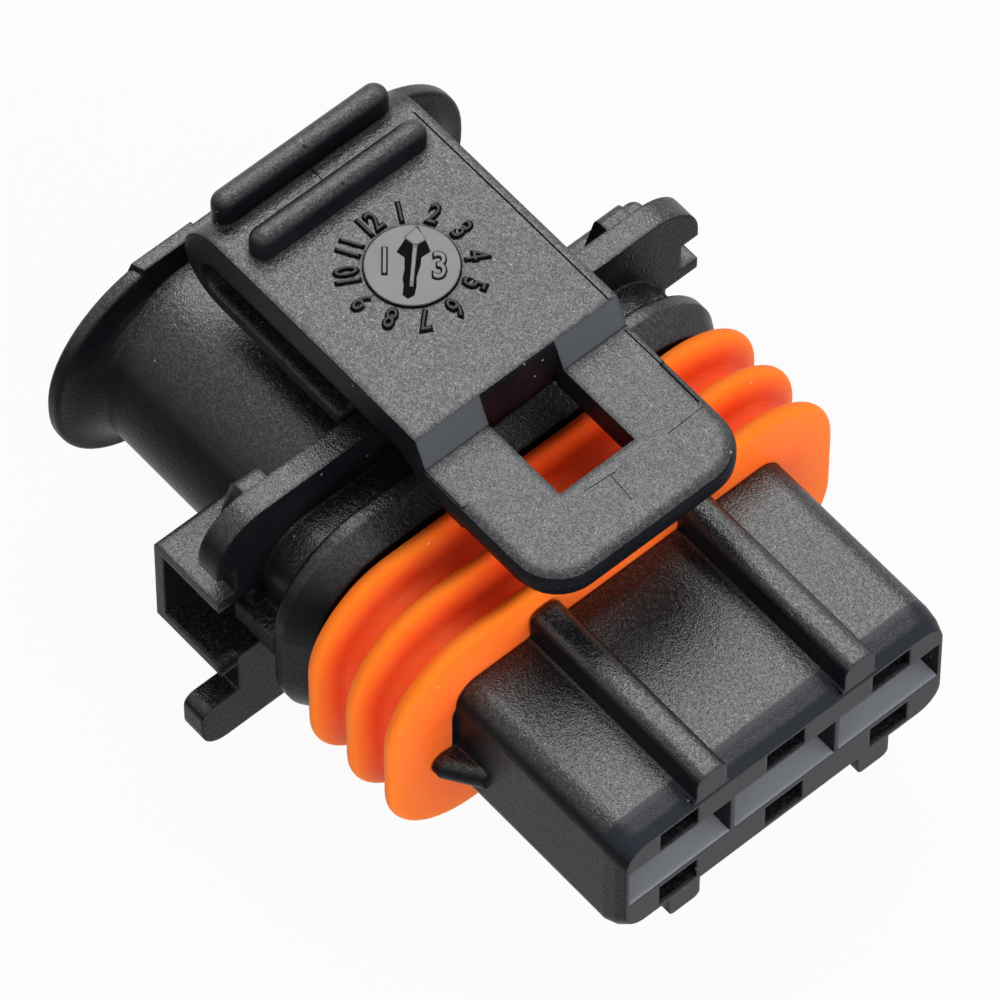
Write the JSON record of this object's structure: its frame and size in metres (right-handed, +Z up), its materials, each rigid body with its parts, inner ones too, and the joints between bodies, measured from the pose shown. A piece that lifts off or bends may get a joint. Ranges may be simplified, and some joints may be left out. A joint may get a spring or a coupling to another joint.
{
  "type": "sealed automotive connector",
  "caption": "Sealed in-line wire connector: rectangular socket block, orange radial lip seal, rocking latch with thumb ribs, and a cross channel for its contact lock.",
  "frame": {"origin": "centre of the mating face, on the axis of the radial seal", "axes": "+X is the direction in which the connector is pushed onto its header, +Y runs along the row of contacts, +Z points up through the latch"},
  "size_m": [0.0294, 0.0246, 0.0177],
  "materials": {
    "black_plastic": "spark-eroded matt moulding of glass-filled nylon",
    "orange_silicone": "satin silicone, slightly translucent",
    "tinned_contact": "tin-plated copper alloy, satin",
    "spring_steel": "rolled spring steel",
    "wire_seal_silicone": "satin silicone"
  },
  "bodies": {
    "body": {"housing": "black_plastic", "radial_seal": "orange_silicone", "contact_left": "tinned_contact", "contact_mid": "tinned_contact", "contact_right": "tinned_contact", "contact_spring_left": "spring_steel", "contact_spring_mid": "spring_steel", "contact_spring_right": "spring_steel", "wire_seal_left": "wire_seal_silicone", "wire_seal_mid": "wire_seal_silicone", "wire_seal_right": "wire_seal_silicone"},
    "latch": {"latch": "black_plastic"},
    "lock": {"secondary_lock": "black_plastic"}
  },
  "joints": [
    {"name": "latch_rock", "type": "hinge", "parent": "body", "child": "latch", "pos_m": [-0.01901, 0, 0.0064], "axis": [0, -1, 0], "range_deg": [0, 8], "stiffness_Nm_per_rad": 1},
    {"name": "lock_slide", "type": "slide", "parent": "body", "child": "lock", "axis": [0, 1, 0], "range_m": [0, 0.0015]}
  ]
}
